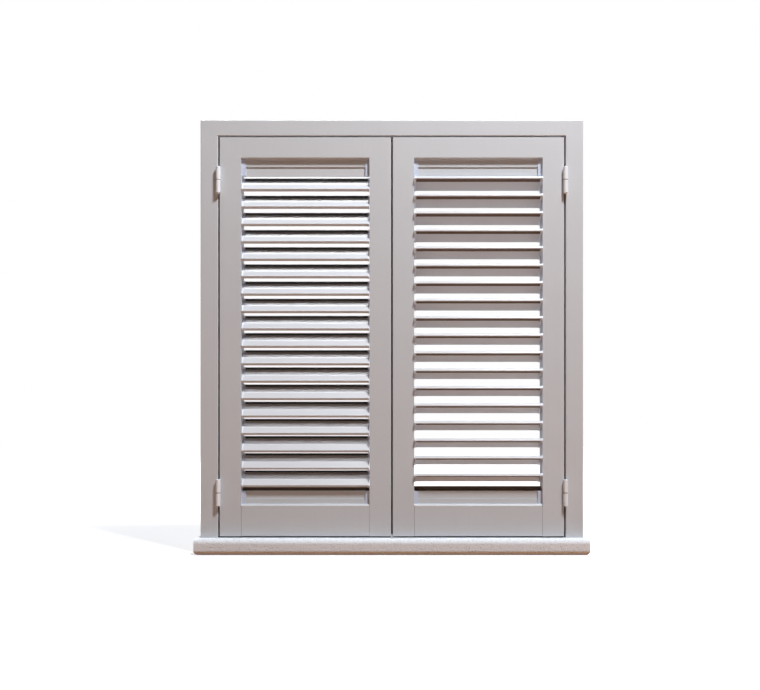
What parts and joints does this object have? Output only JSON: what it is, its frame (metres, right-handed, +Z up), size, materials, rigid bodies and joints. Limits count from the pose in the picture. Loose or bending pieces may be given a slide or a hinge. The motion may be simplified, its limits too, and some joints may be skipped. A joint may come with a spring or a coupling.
{
  "type": "louvred window shutters",
  "caption": "Pair of hinged louvred window shutters in a three-sided frame on a stone sill, with tilting slats moved together by hidden link rods.",
  "frame": {"origin": "middle of the sill's bed face, in the plane of the frame's front", "axes": "+X to the right seen from outside, +Y into the room, +Z up"},
  "size_m": [1.032, 0.108, 1.144],
  "materials": {
    "powder_coat": "satin",
    "slat_coat": "satin",
    "nylon": "matte",
    "zinc": "satin",
    "steel": "satin",
    "stone": "matte"
  },
  "bodies": {
    "frame": {"left_jamb": "powder_coat", "right_jamb": "powder_coat", "head": "powder_coat", "sill": "stone", "hinge_pintles": "zinc", "centre_stop": "zinc"},
    "left_leaf": {"left_hinge_stile": "powder_coat", "left_meeting_stile": "powder_coat", "left_top_rail": "powder_coat", "left_bottom_rail": "powder_coat", "left_fillers": "powder_coat", "left_pivot_strips": "nylon", "left_hinge_knuckles": "zinc"},
    "left_slat_09": {"left_slat_09": "slat_coat"},
    "left_slat_01": {"left_slat_01": "slat_coat"},
    "left_slat_02": {"left_slat_02": "slat_coat"},
    "left_slat_03": {"left_slat_03": "slat_coat"},
    "left_slat_04": {"left_slat_04": "slat_coat"},
    "left_slat_05": {"left_slat_05": "slat_coat"},
    "left_slat_06": {"left_slat_06": "slat_coat"},
    "left_slat_07": {"left_slat_07": "slat_coat"},
    "left_slat_08": {"left_slat_08": "slat_coat"},
    "left_slat_10": {"left_slat_10": "slat_coat"},
    "left_slat_11": {"left_slat_11": "slat_coat"},
    "left_slat_12": {"left_slat_12": "slat_coat"},
    "left_slat_13": {"left_slat_13": "slat_coat"},
    "left_slat_14": {"left_slat_14": "slat_coat"},
    "left_slat_15": {"left_slat_15": "slat_coat"},
    "left_slat_16": {"left_slat_16": "slat_coat"},
    "left_slat_17": {"left_slat_17": "slat_coat"},
    "left_slat_18": {"left_slat_18": "slat_coat"},
    "left_link_rod": {"left_link_rod": "steel"},
    "left_flush_bolt": {"left_flush_bolt": "steel"},
    "right_leaf": {"right_hinge_stile": "powder_coat", "right_meeting_stile": "powder_coat", "right_top_rail": "powder_coat", "right_bottom_rail": "powder_coat", "right_fillers": "powder_coat", "right_pivot_strips": "nylon", "right_hinge_knuckles": "zinc"},
    "right_slat_09": {"right_slat_09": "slat_coat"},
    "right_slat_01": {"right_slat_01": "slat_coat"},
    "right_slat_02": {"right_slat_02": "slat_coat"},
    "right_slat_03": {"right_slat_03": "slat_coat"},
    "right_slat_04": {"right_slat_04": "slat_coat"},
    "right_slat_05": {"right_slat_05": "slat_coat"},
    "right_slat_06": {"right_slat_06": "slat_coat"},
    "right_slat_07": {"right_slat_07": "slat_coat"},
    "right_slat_08": {"right_slat_08": "slat_coat"},
    "right_slat_10": {"right_slat_10": "slat_coat"},
    "right_slat_11": {"right_slat_11": "slat_coat"},
    "right_slat_12": {"right_slat_12": "slat_coat"},
    "right_slat_13": {"right_slat_13": "slat_coat"},
    "right_slat_14": {"right_slat_14": "slat_coat"},
    "right_slat_15": {"right_slat_15": "slat_coat"},
    "right_slat_16": {"right_slat_16": "slat_coat"},
    "right_slat_17": {"right_slat_17": "slat_coat"},
    "right_slat_18": {"right_slat_18": "slat_coat"},
    "right_link_rod": {"right_link_rod": "steel"},
    "right_flush_bolt": {"right_flush_bolt": "steel"}
  },
  "joints": [
    {"name": "left_leaf_swing", "type": "hinge", "parent": "frame", "child": "left_leaf", "pos_m": [-0.457, -0.0065, 0.5725], "axis": [0, 0, -1], "range_deg": [0, 170]},
    {"name": "left_slat_09_tilt", "type": "hinge", "parent": "left_leaf", "child": "left_slat_09", "pos_m": [-0.2285, 0.02, 0.6135], "axis": [1, 0, 0], "range_deg": [-77.5, 25.5]},
    {"name": "left_slat_01_tilt", "type": "hinge", "parent": "left_leaf", "child": "left_slat_01", "pos_m": [-0.2285, 0.02, 0.9815], "axis": [1, 0, 0], "range_deg": [-77.5, 25.5]},
    {"name": "left_slat_02_tilt", "type": "hinge", "parent": "left_leaf", "child": "left_slat_02", "pos_m": [-0.2285, 0.02, 0.9355], "axis": [1, 0, 0], "range_deg": [-77.5, 25.5]},
    {"name": "left_slat_03_tilt", "type": "hinge", "parent": "left_leaf", "child": "left_slat_03", "pos_m": [-0.2285, 0.02, 0.8895], "axis": [1, 0, 0], "range_deg": [-77.5, 25.5]},
    {"name": "left_slat_04_tilt", "type": "hinge", "parent": "left_leaf", "child": "left_slat_04", "pos_m": [-0.2285, 0.02, 0.8435], "axis": [1, 0, 0], "range_deg": [-77.5, 25.5]},
    {"name": "left_slat_05_tilt", "type": "hinge", "parent": "left_leaf", "child": "left_slat_05", "pos_m": [-0.2285, 0.02, 0.7975], "axis": [1, 0, 0], "range_deg": [-77.5, 25.5]},
    {"name": "left_slat_06_tilt", "type": "hinge", "parent": "left_leaf", "child": "left_slat_06", "pos_m": [-0.2285, 0.02, 0.7515], "axis": [1, 0, 0], "range_deg": [-77.5, 25.5]},
    {"name": "left_slat_07_tilt", "type": "hinge", "parent": "left_leaf", "child": "left_slat_07", "pos_m": [-0.2285, 0.02, 0.7055], "axis": [1, 0, 0], "range_deg": [-77.5, 25.5]},
    {"name": "left_slat_08_tilt", "type": "hinge", "parent": "left_leaf", "child": "left_slat_08", "pos_m": [-0.2285, 0.02, 0.6595], "axis": [1, 0, 0], "range_deg": [-77.5, 25.5]},
    {"name": "left_slat_10_tilt", "type": "hinge", "parent": "left_leaf", "child": "left_slat_10", "pos_m": [-0.2285, 0.02, 0.5675], "axis": [1, 0, 0], "range_deg": [-77.5, 25.5]},
    {"name": "left_slat_11_tilt", "type": "hinge", "parent": "left_leaf", "child": "left_slat_11", "pos_m": [-0.2285, 0.02, 0.5215], "axis": [1, 0, 0], "range_deg": [-77.5, 25.5]},
    {"name": "left_slat_12_tilt", "type": "hinge", "parent": "left_leaf", "child": "left_slat_12", "pos_m": [-0.2285, 0.02, 0.4755], "axis": [1, 0, 0], "range_deg": [-77.5, 25.5]},
    {"name": "left_slat_13_tilt", "type": "hinge", "parent": "left_leaf", "child": "left_slat_13", "pos_m": [-0.2285, 0.02, 0.4295], "axis": [1, 0, 0], "range_deg": [-77.5, 25.5]},
    {"name": "left_slat_14_tilt", "type": "hinge", "parent": "left_leaf", "child": "left_slat_14", "pos_m": [-0.2285, 0.02, 0.3835], "axis": [1, 0, 0], "range_deg": [-77.5, 25.5]},
    {"name": "left_slat_15_tilt", "type": "hinge", "parent": "left_leaf", "child": "left_slat_15", "pos_m": [-0.2285, 0.02, 0.3375], "axis": [1, 0, 0], "range_deg": [-77.5, 25.5]},
    {"name": "left_slat_16_tilt", "type": "hinge", "parent": "left_leaf", "child": "left_slat_16", "pos_m": [-0.2285, 0.02, 0.2915], "axis": [1, 0, 0], "range_deg": [-77.5, 25.5]},
    {"name": "left_slat_17_tilt", "type": "hinge", "parent": "left_leaf", "child": "left_slat_17", "pos_m": [-0.2285, 0.02, 0.2455], "axis": [1, 0, 0], "range_deg": [-77.5, 25.5]},
    {"name": "left_slat_18_tilt", "type": "hinge", "parent": "left_leaf", "child": "left_slat_18", "pos_m": [-0.2285, 0.02, 0.1995], "axis": [1, 0, 0], "range_deg": [-77.5, 25.5]},
    {"name": "left_link_rod_pivot", "type": "hinge", "parent": "left_slat_09", "child": "left_link_rod", "pos_m": [-0.052, 0.02809, 0.61745], "axis": [1, 0, 0], "range_deg": [-25.5, 77.5]},
    {"name": "left_bolt_slide", "type": "slide", "parent": "left_leaf", "child": "left_flush_bolt", "axis": [0, 0, -1], "range_m": [0, 0.014]},
    {"name": "right_leaf_swing", "type": "hinge", "parent": "frame", "child": "right_leaf", "pos_m": [0.457, -0.0065, 0.5725], "axis": [0, 0, 1], "range_deg": [0, 170]},
    {"name": "right_slat_09_tilt", "type": "hinge", "parent": "right_leaf", "child": "right_slat_09", "pos_m": [0.2285, 0.02, 0.6135], "axis": [1, 0, 0], "range_deg": [-7.5, 95.5]},
    {"name": "right_slat_01_tilt", "type": "hinge", "parent": "right_leaf", "child": "right_slat_01", "pos_m": [0.2285, 0.02, 0.9815], "axis": [1, 0, 0], "range_deg": [-7.5, 95.5]},
    {"name": "right_slat_02_tilt", "type": "hinge", "parent": "right_leaf", "child": "right_slat_02", "pos_m": [0.2285, 0.02, 0.9355], "axis": [1, 0, 0], "range_deg": [-7.5, 95.5]},
    {"name": "right_slat_03_tilt", "type": "hinge", "parent": "right_leaf", "child": "right_slat_03", "pos_m": [0.2285, 0.02, 0.8895], "axis": [1, 0, 0], "range_deg": [-7.5, 95.5]},
    {"name": "right_slat_04_tilt", "type": "hinge", "parent": "right_leaf", "child": "right_slat_04", "pos_m": [0.2285, 0.02, 0.8435], "axis": [1, 0, 0], "range_deg": [-7.5, 95.5]},
    {"name": "right_slat_05_tilt", "type": "hinge", "parent": "right_leaf", "child": "right_slat_05", "pos_m": [0.2285, 0.02, 0.7975], "axis": [1, 0, 0], "range_deg": [-7.5, 95.5]},
    {"name": "right_slat_06_tilt", "type": "hinge", "parent": "right_leaf", "child": "right_slat_06", "pos_m": [0.2285, 0.02, 0.7515], "axis": [1, 0, 0], "range_deg": [-7.5, 95.5]},
    {"name": "right_slat_07_tilt", "type": "hinge", "parent": "right_leaf", "child": "right_slat_07", "pos_m": [0.2285, 0.02, 0.7055], "axis": [1, 0, 0], "range_deg": [-7.5, 95.5]},
    {"name": "right_slat_08_tilt", "type": "hinge", "parent": "right_leaf", "child": "right_slat_08", "pos_m": [0.2285, 0.02, 0.6595], "axis": [1, 0, 0], "range_deg": [-7.5, 95.5]},
    {"name": "right_slat_10_tilt", "type": "hinge", "parent": "right_leaf", "child": "right_slat_10", "pos_m": [0.2285, 0.02, 0.5675], "axis": [1, 0, 0], "range_deg": [-7.5, 95.5]},
    {"name": "right_slat_11_tilt", "type": "hinge", "parent": "right_leaf", "child": "right_slat_11", "pos_m": [0.2285, 0.02, 0.5215], "axis": [1, 0, 0], "range_deg": [-7.5, 95.5]},
    {"name": "right_slat_12_tilt", "type": "hinge", "parent": "right_leaf", "child": "right_slat_12", "pos_m": [0.2285, 0.02, 0.4755], "axis": [1, 0, 0], "range_deg": [-7.5, 95.5]},
    {"name": "right_slat_13_tilt", "type": "hinge", "parent": "right_leaf", "child": "right_slat_13", "pos_m": [0.2285, 0.02, 0.4295], "axis": [1, 0, 0], "range_deg": [-7.5, 95.5]},
    {"name": "right_slat_14_tilt", "type": "hinge", "parent": "right_leaf", "child": "right_slat_14", "pos_m": [0.2285, 0.02, 0.3835], "axis": [1, 0, 0], "range_deg": [-7.5, 95.5]},
    {"name": "right_slat_15_tilt", "type": "hinge", "parent": "right_leaf", "child": "right_slat_15", "pos_m": [0.2285, 0.02, 0.3375], "axis": [1, 0, 0], "range_deg": [-7.5, 95.5]},
    {"name": "right_slat_16_tilt", "type": "hinge", "parent": "right_leaf", "child": "right_slat_16", "pos_m": [0.2285, 0.02, 0.2915], "axis": [1, 0, 0], "range_deg": [-7.5, 95.5]},
    {"name": "right_slat_17_tilt", "type": "hinge", "parent": "right_leaf", "child": "right_slat_17", "pos_m": [0.2285, 0.02, 0.2455], "axis": [1, 0, 0], "range_deg": [-7.5, 95.5]},
    {"name": "right_slat_18_tilt", "type": "hinge", "parent": "right_leaf", "child": "right_slat_18", "pos_m": [0.2285, 0.02, 0.1995], "axis": [1, 0, 0], "range_deg": [-7.5, 95.5]},
    {"name": "right_link_rod_pivot", "type": "hinge", "parent": "right_slat_09", "child": "right_link_rod", "pos_m": [0.052, 0.02647, 0.60725], "axis": [1, 0, 0], "range_deg": [-95.5, 7.5]},
    {"name": "right_bolt_slide", "type": "slide", "parent": "right_leaf", "child": "right_flush_bolt", "axis": [0, 0, -1], "range_m": [0, 0.014]}
  ],
  "couplings": [
    {"joint": "left_slat_01_tilt", "follows": "left_slat_09_tilt", "ratio": 1},
    {"joint": "left_slat_02_tilt", "follows": "left_slat_09_tilt", "ratio": 1},
    {"joint": "left_slat_03_tilt", "follows": "left_slat_09_tilt", "ratio": 1},
    {"joint": "left_slat_04_tilt", "follows": "left_slat_09_tilt", "ratio": 1},
    {"joint": "left_slat_05_tilt", "follows": "left_slat_09_tilt", "ratio": 1},
    {"joint": "left_slat_06_tilt", "follows": "left_slat_09_tilt", "ratio": 1},
    {"joint": "left_slat_07_tilt", "follows": "left_slat_09_tilt", "ratio": 1},
    {"joint": "left_slat_08_tilt", "follows": "left_slat_09_tilt", "ratio": 1},
    {"joint": "left_slat_10_tilt", "follows": "left_slat_09_tilt", "ratio": 1},
    {"joint": "left_slat_11_tilt", "follows": "left_slat_09_tilt", "ratio": 1},
    {"joint": "left_slat_12_tilt", "follows": "left_slat_09_tilt", "ratio": 1},
    {"joint": "left_slat_13_tilt", "follows": "left_slat_09_tilt", "ratio": 1},
    {"joint": "left_slat_14_tilt", "follows": "left_slat_09_tilt", "ratio": 1},
    {"joint": "left_slat_15_tilt", "follows": "left_slat_09_tilt", "ratio": 1},
    {"joint": "left_slat_16_tilt", "follows": "left_slat_09_tilt", "ratio": 1},
    {"joint": "left_slat_17_tilt", "follows": "left_slat_09_tilt", "ratio": 1},
    {"joint": "left_slat_18_tilt", "follows": "left_slat_09_tilt", "ratio": 1},
    {"joint": "left_link_rod_pivot", "follows": "left_slat_09_tilt", "ratio": -1},
    {"joint": "right_slat_01_tilt", "follows": "right_slat_09_tilt", "ratio": 1},
    {"joint": "right_slat_02_tilt", "follows": "right_slat_09_tilt", "ratio": 1},
    {"joint": "right_slat_03_tilt", "follows": "right_slat_09_tilt", "ratio": 1},
    {"joint": "right_slat_04_tilt", "follows": "right_slat_09_tilt", "ratio": 1},
    {"joint": "right_slat_05_tilt", "follows": "right_slat_09_tilt", "ratio": 1},
    {"joint": "right_slat_06_tilt", "follows": "right_slat_09_tilt", "ratio": 1},
    {"joint": "right_slat_07_tilt", "follows": "right_slat_09_tilt", "ratio": 1},
    {"joint": "right_slat_08_tilt", "follows": "right_slat_09_tilt", "ratio": 1},
    {"joint": "right_slat_10_tilt", "follows": "right_slat_09_tilt", "ratio": 1},
    {"joint": "right_slat_11_tilt", "follows": "right_slat_09_tilt", "ratio": 1},
    {"joint": "right_slat_12_tilt", "follows": "right_slat_09_tilt", "ratio": 1},
    {"joint": "right_slat_13_tilt", "follows": "right_slat_09_tilt", "ratio": 1},
    {"joint": "right_slat_14_tilt", "follows": "right_slat_09_tilt", "ratio": 1},
    {"joint": "right_slat_15_tilt", "follows": "right_slat_09_tilt", "ratio": 1},
    {"joint": "right_slat_16_tilt", "follows": "right_slat_09_tilt", "ratio": 1},
    {"joint": "right_slat_17_tilt", "follows": "right_slat_09_tilt", "ratio": 1},
    {"joint": "right_slat_18_tilt", "follows": "right_slat_09_tilt", "ratio": 1},
    {"joint": "right_link_rod_pivot", "follows": "right_slat_09_tilt", "ratio": -1}
  ]
}
